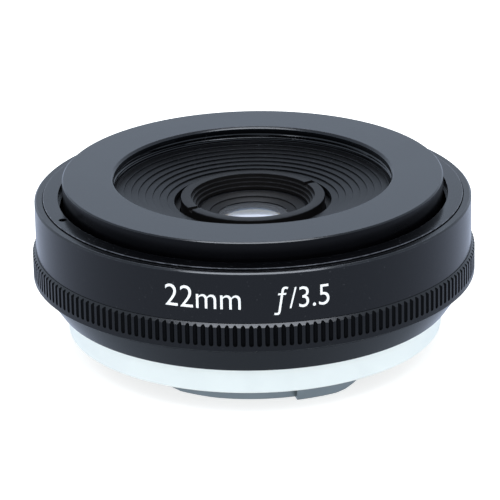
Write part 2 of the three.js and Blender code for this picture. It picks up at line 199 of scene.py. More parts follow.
def finish_of(
    name,
    colour,
    roughness,
    metallic=0.0,
    specular=0.5,
    grain=(5.0, 0.0008),
    rings=(3.0, 0.0),
    tone=0.12,
    rough_tone=0.06,
    wear=(0.0, (0.1, 0.1, 0.1)),
    dust=0.0,
    film=0.0,
):
    """A worked surface: broad tone and roughness changes, fine grain, turning marks that run
    round the axis, wear on the marked edges, and a little dust. grain and rings are
    (scale, height in mm), wear is (share, colour), and film is a clear coat."""
    paint = Paint(name)
    shader = paint.shader.inputs
    broad = paint.noise(BROAD_SCALE, 4.0, distortion=0.4)
    fine = paint.noise(grain[0], 3.0)
    turned = paint.noise(rings[0], 2.0, vector=paint.turned_place())
    scuffs = paint.noise(SCUFF_SCALE, 5.0)
    base = paint.mix(
        paint.ramp(broad, 0.3, 0.7), shade(colour, 1 - tone), shade(colour, 1 + tone)
    )
    worn = paint.math(
        "MULTIPLY", paint.attribute("wear"), paint.ramp(scuffs, 0.38, 0.62, 0.25, 1.0)
    )
    worn = paint.math("MULTIPLY", worn, wear[0])
    base = paint.mix(worn, base, shade(wear[1], 1.0))
    specks = paint.ramp(paint.noise(SPECK_SCALE, 1.0), 0.735, 0.77, 0.0, dust)
    base = paint.mix(specks, base, DUST_GREY)
    paint.feed(shader["Base Color"], base)
    rough = paint.math("MULTIPLY_ADD", broad, 2 * rough_tone, roughness - rough_tone)
    rough = paint.math("MULTIPLY_ADD", turned, rough_tone, rough)
    rough = paint.math("MULTIPLY_ADD", specks, DUST_ROUGHNESS, rough)
    paint.feed(shader["Roughness"], paint.math("MINIMUM", rough, 1.0))
    height = paint.math("MULTIPLY", fine, grain[1])
    height = paint.math("MULTIPLY_ADD", turned, rings[1], height)
    paint.bump(height)
    shader["Metallic"].default_value = metallic
    shader["Specular IOR Level"].default_value = specular
    if film > 0:
        shader["Coat Weight"].default_value = film
        shader["Coat Roughness"].default_value = 0.2
    return paint.material


GLASS_IOR = 1.55


def glass_of(name, tint, film_thickness, film_ior, painted_sheen):
    """Clear polished glass with a thin anti-reflection layer and faint smears. The layer's
    thickness is in nanometres; the last argument is the share of light that scatters diffusely
    instead of passing, a painted sheen that lightens the glass in place of reflections."""
    paint = Paint(name)
    shader = paint.shader.inputs
    smears = paint.ramp(paint.noise(0.5, 4.0, distortion=1.2), 0.52, 0.75)
    paint.feed(shader["Base Color"], paint.mix(smears, (*tint, 1), shade(tint, 0.93)))
    paint.feed(
        shader["Roughness"], paint.math("MULTIPLY_ADD", smears, 0.03, 0.008)
    )
    paint.bump(paint.math("MULTIPLY", paint.noise(0.35, 1.0), 0.0006))
    # The diffuse share left over is the painted sheen
    shader["Transmission Weight"].default_value = 1.0 - painted_sheen
    shader["IOR"].default_value = GLASS_IOR
    shader["Thin Film Thickness"].default_value = film_thickness
    shader["Thin Film IOR"].default_value = film_ior
    return paint.material


EDGE_GREY = (0.05, 0.055, 0.065)
BLACK = (0.0006, 0.0007, 0.0009)
anodised = finish_of(
    "anodised_black", BLACK, 0.15, specular=0.32,
    grain=(4.0, 0.0005), rings=(5.0, 0.0006), wear=(0.3, EDGE_GREY), dust=0.02,
)
knurl_black = finish_of(
    "anodised_black_knurl", BLACK, 0.25, specular=0.31,
    grain=(4.0, 0.0004), rings=(5.0, 0.0004), wear=(0.1, EDGE_GREY), dust=0.01,
)
# Painted shade: the grooves get the knurl's own black made far less reflective, so the recesses read
# dark
knurl_groove_painted_shade = finish_of(
    "anodised_black_valleys_painted_shade", BLACK, 0.5, specular=0.08, grain=(4.0, 0.0006),
)
disc_black = finish_of(
    "anodised_front", (0.0008, 0.0010, 0.0014), 0.18, specular=0.29,
    grain=(4.0, 0.0005), rings=(4.5, 0.0008), wear=(0.3, EDGE_GREY), dust=0.02,
)
# Painted shade: a darker, less reflective copy of the front disc's black for its upright side
disc_side_painted_shade = finish_of(
    "anodised_front_side_painted_shade", (0.0007, 0.0006, 0.0009), 0.26, specular=0.15,
    grain=(4.0, 0.0005), rings=(4.5, 0.0008),
)
# Painted shade: a darker, less reflective copy of the black for the ledge and the body's top face,
# with real wear on its edges
ledge_black_painted_shade = finish_of(
    "anodised_ledge_painted_shade", (0.0004, 0.0004, 0.0006), 0.15, specular=0.2,
    grain=(4.0, 0.0005), rings=(5.0, 0.0006), wear=(0.6, (0.12, 0.12, 0.13)), dust=0.03,
)
bowl_black = finish_of(
    "moulded_black", (0.0016, 0.0016, 0.0018), 0.29, specular=0.11,
    grain=(6.0, 0.0008), wear=(0.15, EDGE_GREY), dust=0.03,
)
matt = finish_of(
    "matt_black_paint", (0.003, 0.003, 0.0034), 0.55, specular=0.2,
    grain=(7.0, 0.0016), wear=(0.15, EDGE_GREY), dust=0.02,
)
cell_black = finish_of(
    "anodised_cell", (0.0052, 0.0046, 0.0042), 0.31, specular=0.09,
    grain=(5.0, 0.0006), rings=(7.0, 0.0008), wear=(0.25, EDGE_GREY),
)
silver = finish_of(
    "satin_silver", (0.84, 0.865, 0.79), 0.36, metallic=0.45,
    grain=(5.0, 0.0006), rings=(5.0, 0.0010), tone=0.025, wear=(0.2, (0.9, 0.88, 0.82)),
)
# Painted shade: the bayonet's steel is darkened below its own tone to stand for the shade under the
# silver flange
bayonet_grey_painted_shade = finish_of(
    "turned_grey_metal_painted_shade", (0.25, 0.275, 0.26), 0.33, metallic=0.9,
    grain=(5.0, 0.0008), rings=(4.0, 0.0016), tone=0.08, wear=(0.3, (0.5, 0.5, 0.48)),
)
steel = finish_of(
    "bright_steel", (0.50, 0.48, 0.44), 0.3, metallic=1.0,
    grain=(6.0, 0.0008), rings=(6.0, 0.0008), tone=0.08, wear=(0.4, (0.75, 0.74, 0.70)),
)
red_paint = finish_of(
    "red_paint", (0.55, 0.022, 0.015), 0.32, grain=(3.0, 0.0015), tone=0.1, film=0.5,
)
white_paint = finish_of(
    "white_marks", (0.62, 0.62, 0.59), 0.5, grain=(8.0, 0.0008), tone=0.05,
)
# The front glass's 0.07 diffuse share is a painted reflection that greys the glass over
front_glass = glass_of("coated_glass_front", (0.74, 0.75, 0.77), 330.0, 1.36, painted_sheen=0.07)
inner_glass = glass_of("coated_glass_inner", (0.93, 0.97, 0.98), 260.0, 1.36, painted_sheen=0.0)


# ---- mesh tools ---------------------------------------------------------------------------------


def rounded(profile, bends=3):
    """The profile, a closed loop of (radius, height) or (radius, height, cut) corners, turned
    anticlockwise, with each corner that has a cut bent over that length. Gives
    (radius, height, wear) points; wear is 1 on the bends that stick out."""
    corners = [(c[0], c[1], c[2] if len(c) > 2 else 0.0) for c in profile]
    following = corners[1:] + corners[:1]
    if sum(a[0] * b[1] - b[0] * a[1] for a, b in zip(corners, following)) < 0:
        corners.reverse()
    points = []
    for i, (r, z, cut) in enumerate(corners):
        if cut <= 0:
            points.append((r, z, 0.0))
            continue
        here = Vector((r, z))
        back = Vector(corners[i - 1][:2]) - here
        ahead = Vector(corners[(i + 1) % len(corners)][:2]) - here
        start = here + back.normalized() * cut
        end = here + ahead.normalized() * cut
        sticks_out = back.x * ahead.y - back.y * ahead.x < 0
        for k in range(bends + 1):
            t = k / bends
            p = start * (1 - t) ** 2 + here * 2 * t * (1 - t) + end * t * t
            points.append((p.x, p.y, float(sticks_out and 0 < k < bends)))
    return points


def at(radius, azimuth, z):
    return (radius * math.sin(azimuth), -radius * math.cos(azimuth), z)


def mesh_from(name, vertices, faces, wear):
    """Vertices are in millimetres, the mesh in metres."""
    mesh = bpy.data.meshes.new(name)
    mesh.from_pydata([Vector(v) * MM for v in vertices], [], faces)
    attribute = mesh.attributes.new("wear", "FLOAT", "POINT")
    attribute.data.foreach_set("value", wear)
    mesh.update()
    return mesh


def turned(name, profile, sides=SIDES, shape=None):
    """A turned solid. shape(radius, height, azimuth) may give each vertex another radius."""
    points = rounded(profile)
    vertices, wear, rows = [], [], []
    for r, z, worn in points:
        if r < TINY:
            rows.append([len(vertices)] * sides)
            vertices.append((0, 0, z))
            wear.append(worn)
            continue
        rows.append(range(len(vertices), len(vertices) + sides))
        for k in range(sides):
            azimuth = k * FULL_TURN / sides
            radius = shape(r, z, azimuth) if shape else r
            vertices.append(at(radius, azimuth, z))
            wear.append(worn)
    faces = []
    for i, row in enumerate(rows):
        other = rows[(i + 1) % len(rows)]
        if points[i][0] < TINY and points[(i + 1) % len(rows)][0] < TINY:
            continue
        for k in range(sides):
            n = (k + 1) % sides
            corners = dict.fromkeys((row[k], row[n], other[n], other[k]))
            faces.append(list(corners))
    return mesh_from(name, vertices, faces, wear)


def sector(name, profile, start, end, steps=24):
    """A closed profile bent round the axis from one azimuth to a larger one."""
    points = rounded(profile)
    count = len(points)
    vertices, wear = [], []
    for k in range(steps + 1):
        azimuth = start + (end - start) * k / steps
        for r, z, worn in points:
            vertices.append(at(r, azimuth, z))
            wear.append(worn)
    faces = []
    for k in range(steps):
        for i in range(count):
            n = (i + 1) % count
            a, b = k * count, (k + 1) * count
            faces.append([a + i, b + i, b + n, a + n])
    faces.append(list(range(count - 1, -1, -1)))
    faces.append([steps * count + i for i in range(count)])
    return mesh_from(name, vertices, faces, wear)


def moved(mesh, matrix):
    mesh.transform(matrix)
    return mesh


def beside(mesh, radius, azimuth, z=0.0):
    return moved(mesh, Matrix.Translation(Vector(at(radius, azimuth, z)) * MM))


def rod(name, radius, bottom, height, sides=48):
    return turned(name, [(0, bottom), (radius, bottom), (radius, height), (0, height)], sides)


def combined(mesh, others, operation):
    """The mesh with the others cut out of it (DIFFERENCE) or added to it (UNION)."""
    scene = bpy.context.scene.collection
    blank = bpy.data.objects.new("blank", mesh)
    scene.objects.link(blank)
    tools = []
    for other in others:
        tool = bpy.data.objects.new("tool", other)
        scene.objects.link(tool)
        tools.append(tool)
        modifier = blank.modifiers.new("combine", "BOOLEAN")
        modifier.operation = operation
        modifier.solver = "EXACT"
        modifier.object = tool
    graph = bpy.context.evaluated_depsgraph_get()
    result = bpy.data.meshes.new_from_object(blank.evaluated_get(graph))
    for item in [blank, *tools]:
        old = item.data
        bpy.data.objects.remove(item)
        bpy.data.meshes.remove(old)
    return result


def show(name, mesh, body, material, slot, *nodes):
    """Puts a piece in the scene: it rides on a body and stands for CAD nodes."""
    mesh.name = name
    mesh.materials.clear()
    mesh.materials.append(material)
    mesh.shade_smooth()
    mesh.set_sharp_from_angle(angle=SHARP_ANGLE)
    piece = bpy.data.objects.new(name, mesh)
    bpy.context.scene.collection.objects.link(piece)
    normals = piece.modifiers.new("normals", "WEIGHTED_NORMAL")
    normals.keep_sharp = True
    normals.weight = 100
    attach(piece, body)
    if nodes:
        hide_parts(*nodes)
    return piece


def paint_faces(mesh, material, chosen):
    """Gives the faces that chosen(face) picks a second material."""
    mesh.materials.append(material)
    for face in mesh.polygons:
        if chosen(face):
            face.material_index = 1


def spread(count, first=0.0):
    """Azimuths evenly round the axis."""
    return [first + k * FULL_TURN / count for k in range(count)]


# ---- focus ring ---------------------------------------------------------------------------------

RIBS = 180
RING_CHAMFER = 0.43
RING_CLEARANCE = 0.25
VALLEY_DEPTH = 0.31
VALLEY_HALF = 0.33
VALLEY_POWER = 1.9
VALLEY_END_Z = 12.69
VALLEY_END_STEP = 0.02
VALLEY_STEPS = (-1, -0.93, -0.75, -0.45, 0, 0.45, 0.75, 0.93, 1)
SKIRT_LOW = 11.6
SKIRT_EDGE = 0.05
SKIRT_IN_R = 31.35


def focus_ring():
    """The ring with its ribs: round-ended grooves that run out through the top chamfer, and a
    skirt that ends just above the rear barrel. Gives the mesh and its face numbers in the
    grooves."""
    bore = SLEEVE_OUT_R + RING_CLEARANCE
    chamfer_r = KNURL_R - RING_CHAMFER
    vertices = []
    for k in range(RIBS):
        for step in VALLEY_STEPS:
            azimuth = (k + 0.5) * FULL_TURN / RIBS + step * VALLEY_HALF / KNURL_R
            radius = KNURL_R - VALLEY_DEPTH * (1 - abs(step) ** VALLEY_POWER)
            end = VALLEY_END_Z - VALLEY_HALF * math.sqrt(1 - step**2)
            line = [
                (bore, KNURL_TOP), (chamfer_r, KNURL_TOP), (radius, KNURL_TOP - (radius - chamfer_r)),
                (radius, VALLEY_END_Z), (radius, end), (KNURL_R, end - VALLEY_END_STEP),
                (KNURL_R, SKIRT_LOW + SKIRT_EDGE), (KNURL_R - SKIRT_EDGE, SKIRT_LOW),
                (SKIRT_IN_R, SKIRT_LOW), (SKIRT_IN_R, KNURL_LOW), (bore, KNURL_LOW),
            ]
            vertices += [at(r, azimuth, z) for r, z in line]
    rows, columns = len(line), RIBS * len(VALLEY_STEPS)
    faces, grooved = [], set()
    for c in range(columns):
        a, b = c * rows, ((c + 1) % columns) * rows
        for i in range(rows):
            n = (i + 1) % rows
            if (c + 1) % len(VALLEY_STEPS) and 2 <= i <= 4:
                grooved.add(len(faces))
            faces.append([a + i, a + n, b + n, b + i])
    return mesh_from("focus", vertices, faces, [0.0] * len(vertices)), grooved


ring_mesh, groove_faces = focus_ring()
show("focus_ring_knurled", ring_mesh, "focus", knurl_black, "black_anodised", "focus_ring")
# The groove faces take the painted-shade copy of the knurl black
paint_faces(ring_mesh, knurl_groove_painted_shade, lambda face: face.index in groove_faces)

# ---- body wall ----------------------------------------------------------------------------------

TOP_EDGE = 0.24
SLEEVE_TOP = 21.6
LEDGE_GAP = 0.1
DRIVE_Z = 13.3
WINDOW_HALF = 1.2
WINDOW_IN_R = SLEEVE_IN_R - 0.8
WINDOW_OUT_R = SLEEVE_OUT_R + 0.8
DRIVE_PLACES = spread(3, math.radians(45))
QUARTER = math.pi / 2


def body_wall():
    """The outer wall and its sleeve, which has a window for the travel of each drive pin."""
    wall = turned("wall", [
        (SLEEVE_IN_R, SLEEVE_LOW, 0.05), (SLEEVE_OUT_R, SLEEVE_LOW, 0.05),
        (SLEEVE_OUT_R, BODY_LOW), (BODY_R, BODY_LOW),
        (BODY_R, BODY_TOP - TOP_EDGE, 0.05), (BODY_R - TOP_EDGE, BODY_TOP, 0.05),
        (LEDGE_R + LEDGE_GAP, BODY_TOP, 0.04),
        (LEDGE_R + LEDGE_GAP, SLEEVE_TOP), (SLEEVE_IN_R, SLEEVE_TOP),
    ])
    half = WINDOW_HALF / SLEEVE_IN_R
    window = [
        (WINDOW_IN_R, DRIVE_Z - WINDOW_HALF), (WINDOW_OUT_R, DRIVE_Z - WINDOW_HALF),
        (WINDOW_OUT_R, DRIVE_Z + WINDOW_HALF), (WINDOW_IN_R, DRIVE_Z + WINDOW_HALF),
    ]
    cutters = [
        sector("window", window, place - half, place + QUARTER + half, 40)
        for place in DRIVE_PLACES
    ]
    return combined(wall, cutters, "DIFFERENCE")


def is_wall_top(face):
    return face.normal.z > 0.99 and face.center.z > (BODY_TOP - 0.1) * MM


wall_mesh = body_wall()
show("body_wall", wall_mesh, "mount", anodised, "black_anodised", "outer_barrel")
# The body's upward faces at its top take the ledge's painted-shade black
paint_faces(wall_mesh, ledge_black_painted_shade, is_wall_top)

LEDGE_IN_R = 28.1
NOTCH_R = 28.9


def ledge_ring():
    """The flat ring round the disc, with two spanner notches."""
    bottom = low("front_retaining_ring")
    ring = turned("ledge", [
        (LEDGE_IN_R, bottom), (LEDGE_R, bottom),
        (LEDGE_R, LEDGE_TOP, 0.12), (LEDGE_IN_R, LEDGE_TOP, 0.08),
    ])
    holes = [
        beside(rod("notch", 0.6, LEDGE_TOP - 0.8, LEDGE_TOP + 1), NOTCH_R, azimuth)
        for azimuth in spread(2, math.radians(-69))
    ]
    return combined(ring, holes, "DIFFERENCE")


# The ledge ring wears the painted-shade black
show(
    "front_ledge_ring", ledge_ring(), "mount", ledge_black_painted_shade, "black_anodised",
    "front_retaining_ring",
)

# ---- marks --------------------------------------------------------------------------------------

MARK_Z = 19.3
MARK_HEIGHT = 3.2
MARK_THINNING = -0.005
MARK_PROUD = 0.02
MARK_SUNK = 0.04
MARK_SLICES = 24


def mark(name, text, first, last):
    """Painted figures wrapped round the body wall between two azimuths."""
    curve = bpy.data.curves.new(name, "FONT")
    curve.body = text
    curve.extrude = 0.1
    curve.resolution_u = 8
    curve.offset = MARK_THINNING
    holder = bpy.data.objects.new(name, curve)
    bpy.context.scene.collection.objects.link(holder)
    graph = bpy.context.evaluated_depsgraph_get()
    mesh = bpy.data.meshes.new_from_object(holder.evaluated_get(graph))
    bpy.data.objects.remove(holder)
    work = bmesh.new()
    work.from_mesh(mesh)
    xs = [v.co.x for v in work.verts]
    ys = [v.co.y for v in work.verts]
    left, wide = min(xs), max(xs) - min(xs)
    tall = max(ys)
    for k in range(1, MARK_SLICES):
        geometry = [*work.verts, *work.edges, *work.faces]
        place = Vector((left + wide * k / MARK_SLICES, 0, 0))
        bmesh.ops.bisect_plane(work, geom=geometry, plane_co=place, plane_no=(1, 0, 0))
    for v in work.verts:
        azimuth = first + (last - first) * (v.co.x - left) / wide
        z = MARK_Z + MARK_HEIGHT * (v.co.y / tall - 0.5)
        radius = BODY_R + (MARK_PROUD if v.co.z > 0 else -MARK_SUNK)
        v.co = Vector(at(radius, azimuth, z)) * MM
    bmesh.ops.recalc_face_normals(work, faces=work.faces)
    work.to_mesh(mesh)
    work.free()
    return show(name, mesh, "mount", white_paint, "mount_silver")


mark("mark_focal_length", "22mm", math.radians(-23.0), math.radians(-3.5))
mark("mark_aperture", "\u0192/3.5", math.radians(4.8), math.radians(19.0))

# ---- front disc, bowl and cell ring -------------------------------------------------------------

THREAD_TOP = 25.12
THREAD_LOW = low("stepped_baffle") + 2.6
THREAD_PITCH = 0.5
THREAD_DEPTH = 0.36
THREAD_ROWS = 8
BORE_EDGE = 0.3
DISC_EDGE = 0.2
DISC_UNDERCUT = 0.45
DISC_SIDE_STEPS = 8
DISC_IN_R = 25.55
DISC_SIDE_FROM_R = 26.5


def thread(radius, z, azimuth):
    """Cuts the filter thread into the front disc's bore; it fades out over a turn at each end."""
    if abs(radius - FILTER_R) > 0.01 or not THREAD_LOW - TINY < z < THREAD_TOP:
        return radius
    phase = (z / THREAD_PITCH - azimuth / FULL_TURN) % 1.0
    fade = min(1.0, (THREAD_TOP - z) / THREAD_PITCH, (z - THREAD_LOW) / THREAD_PITCH)
    return radius + THREAD_DEPTH * fade * (1 - abs(2 * phase - 1))


def front_disc():
    """The broad flat disc, threaded inside, with a side that curves in below its edge."""
    thread_height = THREAD_TOP - THREAD_LOW
    rows = int(thread_height / THREAD_PITCH * THREAD_ROWS)
    bore = [(FILTER_R, THREAD_LOW + thread_height * k / rows) for k in range(rows + 1)]
    side_top = DISC_TOP - DISC_EDGE
    side = [
        (DISC_R - DISC_UNDERCUT * share**2, side_top + (DISC_LOW - side_top) * share)
        for share in (k / DISC_SIDE_STEPS for k in range(1, DISC_SIDE_STEPS + 1))
    ]
    return turned("disc", [
        (FILTER_R, DISC_TOP - BORE_EDGE, 0.05), (FILTER_R + BORE_EDGE, DISC_TOP, 0.06),
        (DISC_R - DISC_EDGE, DISC_TOP, 0.05), (DISC_R, side_top, 0.05),
        *side, (DISC_IN_R, DISC_LOW), (DISC_IN_R, 24.0),
        *bore,
    ], shape=thread)


def is_disc_side(face):
    return abs(face.normal.z) < 0.5 and face.center.xy.length > DISC_SIDE_FROM_R * MM


disc_mesh = front_disc()
show("front_disc", disc_mesh, "optics", disc_black, "front_black", "front_plate")
# The disc's upright faces, picked by their normals, take the painted-shade copy
paint_faces(disc_mesh, disc_side_painted_shade, is_disc_side)

BOWL_STEPS = 8
BOWL_HOLE_Z = BOWL_TOP - 1.9
BOWL_RIM_R = 25.2


def bowl():
    """The shallow bowl of even steps between the disc and the cell ring."""
    width = (BOWL_R - BOWL_HOLE_R) / BOWL_STEPS
    drop = (BOWL_TOP - BOWL_HOLE_Z) / BOWL_STEPS
    profile = [
        (BOWL_HOLE_R, BOWL_LOW), (BOWL_RIM_R, BOWL_LOW), (BOWL_RIM_R, BOWL_TOP),
        (BOWL_R, BOWL_TOP, 0.05),
    ]
    for k in range(BOWL_STEPS):
        radius, z = BOWL_R - k * width, BOWL_TOP - (k + 1) * drop
        profile.append((radius, z, 0.03))
        profile.append((radius - width, z, 0.05))
    return turned("bowl", profile)


show("stepped_bowl", bowl(), "optics", bowl_black, "baffle_plastic", "stepped_baffle")


CELL_OUT_R = 10.4
CELL_IN_R = 8.94
CELL_BORE_R = 8.95
CELL_STEPS = 4
CELL_STEP_RUN = 0.323
CELL_STEP_FALL = 0.54
SLOT_DEPTH = 0.5
SLOT_HALF_ANGLE = 0.05


def cell_ring():
    """The raised ring in the bowl: stepped inside, with two spanner slots."""
    bottom = low("cell_retaining_ring")
    profile = [
        (CELL_BORE_R, bottom), (CELL_OUT_R, bottom), (CELL_OUT_R, CELL_TOP, 0.15),
        (CELL_IN_R, CELL_TOP, 0.06),
    ]
    for k in range(CELL_STEPS):
        radius, z = CELL_IN_R - k * CELL_STEP_RUN, CELL_TOP - (k + 1) * CELL_STEP_FALL
        profile.append((radius, z, 0.02))
        if k < CELL_STEPS - 1:
            profile.append((radius - CELL_STEP_RUN, z, 0.05))
    profile.append((CELL_BORE_R, CELL_TOP - CELL_STEPS * CELL_STEP_FALL))
    slot = [
        (CELL_IN_R - 0.2, CELL_TOP - SLOT_DEPTH), (CELL_OUT_R + 0.6, CELL_TOP - SLOT_DEPTH),
        (CELL_OUT_R + 0.6, CELL_TOP + 1), (CELL_IN_R - 0.2, CELL_TOP + 1),
    ]
    cutters = [
        sector("slot", slot, azimuth - SLOT_HALF_ANGLE, azimuth + SLOT_HALF_ANGLE, 6)
        for azimuth in spread(2, math.radians(-60))
    ]
    return combined(turned("cell", profile), cutters, "DIFFERENCE")


show(
    "cell_lock_ring", cell_ring(), "optics", cell_black, "black_anodised",
    "cell_retaining_ring",
)
show("front_glass_ring", turned("glass_ring", [
    (5.1, 19.68), (7.05, 19.4), (7.05, 19.0), (7.8, 19.0), (7.8, 20.45, 0.05),
    (7.55, 20.45, 0.05), (6.3, 20.2, 0.04), (6.25, 20.0), (5.1, 19.76, 0.03),
]), "optics", cell_black, "black_anodised", "front_element_ring")


# ---- glass --------------------------------------------------------------------------------------


def face(centre_z, bend, radius=GLASS_R, steps=12):
    """Points of a shallow domed face, from the axis out; bend is its curvature."""
    radii = [radius * k / steps for k in range(steps + 1)]
    return [(r, centre_z - bend * r * r / 2) for r in radii]


def element(name, rear, front):
    """A lens element between two faces."""
    return turned(name, [*rear, *reversed(front)], 96)


FRONT_BEVEL = [(5.08, 19.6), (5.3, 19.5), (GLASS_R, 19.1)]
LENSES = {
    "front": (front_glass, face(17.3, 0), [*face(20.22, 0.0538, 4.8), *FRONT_BEVEL]),
    "middle": (inner_glass, face(12.8, 0.034), face(13.8, -0.034)),
    "rear": (inner_glass, face(5.25, -0.04), face(8.6, 0.025)),
}
for place, (glass, rear, front) in LENSES.items():
    lens = element(place, rear, front)
    show(f"{place}_lens", lens, "optics", glass, "coated_glass", f"{place}_element")

# ---- barrel of the optics -----------------------------------------------------------------------

show("optics_barrel", turned("barrel", [
    (8.9, 9.2), (12.3, 9.2), (12.3, 19.9), (21.2, 19.9), (21.2, 10.2, 0.05), (22.5, 10.2, 0.05),
    (22.5, 19.9), (25.3, 19.9), (25.3, 21.2), (11.6, 21.2), (11.6, 20.6, 0.06),
    (10.55, 20.6, 0.06), (10.55, 9.9), (8.9, 9.9),
]), "optics", matt, "matt_black", "lens_barrel")
show("glass_cell", turned("cell_body", [
    (7.4, 4.6, 0.06), (8.6, 4.6, 0.1), (8.6, 10.0), (10.3, 10.0), (10.3, 19.2, 0.05),
    (8.75, 19.2), (8.75, 20.4, 0.06), (7.95, 20.4, 0.05), (7.95, 18.8), (7.05, 18.8),
    (7.05, 9.4), (5.8, 9.4, 0.05), (5.8, 8.7, 0.05), (7.05, 8.7), (7.05, 5.7), (7.4, 5.7),
]), "optics", matt, "matt_black", "lens_cell")


def rear_glass_ring():
    ring = turned("rear_glass", [
        (5.9, 4.7, 0.12), (7.2, 4.7, 0.05), (7.2, 5.55), (5.9, 5.55),
    ])
    slot = [(5, 4), (7.5, 4), (7.5, 5.1), (5, 5.1)]
    cutters = [
        sector("slot", slot, azimuth - 0.08, azimuth + 0.08, 6)
        for azimuth in spread(2, QUARTER)
    ]
    return combined(ring, cutters, "DIFFERENCE")


show(
    "rear_glass_lock", rear_glass_ring(), "optics", cell_black, "black_anodised",
    "rear_element_ring",
)

# ---- rear barrel and mount ----------------------------------------------------------------------

REAR_R = 28.54
REAR_WIDE_R = 31.1
REAR_LOW = low("rear_barrel")
REAR_TOP = top("rear_barrel")
REAR_IN_R = 27.45
REAR_EDGE = 0.3
SEAT_R = SLEEVE_OUT_R + 0.15
FLOOR_LOW = 7.6
FLOOR_TOP = 8.9
SLOPE = math.atan2(REAR_WIDE_R - REAR_R, REAR_TOP - REAR_EDGE - REAR_LOW)
DOT_PLACE = (
    Matrix.Translation(Vector((
        0, (REAR_WIDE_R + REAR_R) / 2, (REAR_LOW + REAR_TOP - REAR_EDGE) / 2
    )) * MM)
    @ Matrix.Rotation(-math.pi / 2 - SLOPE, 4, "X")
)


def rear_barrel():
    """The tapered rear shell with its floor, and the dimple that holds the index dot."""
    shell = turned("shell", [
        (REAR_IN_R, REAR_LOW), (REAR_R, REAR_LOW, 0.08), (REAR_WIDE_R, REAR_TOP - REAR_EDGE, 0.06),
        (REAR_WIDE_R - 0.15, REAR_TOP, 0.05), (SEAT_R, REAR_TOP, 0.05),
        (SEAT_R, FLOOR_TOP), (19.2, FLOOR_TOP, 0.08), (19.2, FLOOR_LOW, 0.08),
        (REAR_IN_R, FLOOR_LOW),
    ])
    dimple = moved(rod("dimple", 1.1, -0.6, 0.6), DOT_PLACE)
    return combined(shell, [dimple], "DIFFERENCE")


show("rear_shell", rear_barrel(), "mount", anodised, "black_anodised", "rear_barrel")
show("index_dot_red", moved(turned("dot", [
    (0, -0.34), (0.8, -0.34), (0.8, -0.06, 0.05), (0.55, -0.03), (0.3, -0.012), (0, -0.005),
], 64), DOT_PLACE), "mount", red_paint, "index_red", "index_dot")

MOUNT_SCREWS = spread(4, math.pi / 4)
SILVER_TOP = FLOOR_LOW - 0.1
RECESS_R = PLATE_R + 0.3
RECESS_TOP = PLATE_TOP + 0.1


def silver_ring():
    """The silver ring, with a recess for the bayonet's plate and four screw holes."""
    ring = turned("silver", [
        (RECESS_R, FLANGE_Z, 0.06), (FLANGE_R, FLANGE_Z, 0.2), (FLANGE_R, SILVER_TOP, 0.06),
        (20.3, SILVER_TOP, 0.1), (20.3, RECESS_TOP), (RECESS_R, RECESS_TOP),
    ])
    holes = [beside(rod("hole", 1.0, 0, 10, 32), MOUNT_SCREW_R, az) for az in MOUNT_SCREWS]
    return combined(ring, holes, "DIFFERENCE")


show("flange_ring_silver", silver_ring(), "mount", silver, "mount_silver", "mount_ring")

TABS = spread(3)
TAB_FROM = math.radians(14.5)
TAB_TO = math.radians(38.5)
# The height that the bayonet is cut back to, at degrees from each tab's turn.
RELIEF = (
    (-12.5, 0.0), (-29.5, 0.25), (-33.5, 0.6), (-36.0, 1.4), (-80.5, 1.4), (-83.2, 0.83),
    (-86.7, 0.31), (-91.4, 0.0),
)
TAB_THICK = 1.6
PLATE_LOW = FLANGE_Z + 0.1
RELIEF_STEPS = 8
CUT_LOW = -1.5
SCREW_HEAD_R = 1.4
SCREW_SHANK_R = 0.7


def countersink(name, wider, z, length, sides=48):
    """A countersunk screw's outline, this much wider, as a cutter."""
    head, shank = SCREW_HEAD_R + wider, SCREW_SHANK_R + wider
    return turned(name, [
        (0, z), (head, z), (head, z + 0.2), (shank, z + 0.9), (shank, z + length), (0, z + length),
    ], sides)


def relief(turn):
    """A cutter that shortens the bayonet between one tab and the next."""
    stations = []
    for (start, z0), (end, z1) in zip(RELIEF, RELIEF[1:]):
        for share in (k / RELIEF_STEPS for k in range(RELIEF_STEPS)):
            stations.append((start + (end - start) * share, z0 + (z1 - z0) * share))
    stations.append(RELIEF[-1])
    vertices, faces = [], []
    for degrees, z in stations:
        azimuth = turn + math.radians(degrees)
        corners = (
            (THROAT_R - 1, CUT_LOW), (THROAT_R - 1, z - 0.01),
            (TAB_R + 1, z - 0.01), (TAB_R + 1, CUT_LOW),
        )
        vertices += [at(r, azimuth, height) for r, height in corners]
    for k in range(len(stations) - 1):
        a, b = 4 * k, 4 * k + 4
        faces += [[a + i, b + i, b + (i + 1) % 4, a + (i + 1) % 4] for i in range(4)]
    faces += [[3, 2, 1, 0], [len(vertices) - 4 + i for i in range(4)]]
    return mesh_from("relief", vertices, faces, [0.0] * len(vertices))


def bayonet():
    """The bayonet: a plate, a tube with three tabs, and the holes for its screws."""
    tube = turned("tube", [
        (THROAT_R, 0, 0.12), (BAYONET_R, 0, 0.12), (BAYONET_R, PLATE_LOW, 0.08),
        (PLATE_R, PLATE_LOW, 0.1), (PLATE_R, PLATE_TOP), (THROAT_R, PLATE_TOP),
    ])
    tab = [
        (BAYONET_R - 0.6, 0.02), (TAB_R, 0.02, 0.12), (TAB_R, TAB_THICK, 0.12),
        (BAYONET_R - 0.6, TAB_THICK),
    ]
    tabs = [sector("tab", tab, turn + TAB_FROM, turn + TAB_TO) for turn in TABS]
    reliefs = [relief(turn) for turn in TABS]
    holes = [
        beside(countersink("hole", 0.3, PLATE_LOW - 0.01, 6), MOUNT_SCREW_R, az)
        for az in MOUNT_SCREWS
    ]
    whole = combined(tube, tabs, "UNION")
    return combined(whole, [*reliefs, *holes], "DIFFERENCE")


# The bayonet wears the steel darkened as painted shade
show("bayonet", bayonet(), "mount", bayonet_grey_painted_shade, "bayonet_steel", "bayonet_plate")


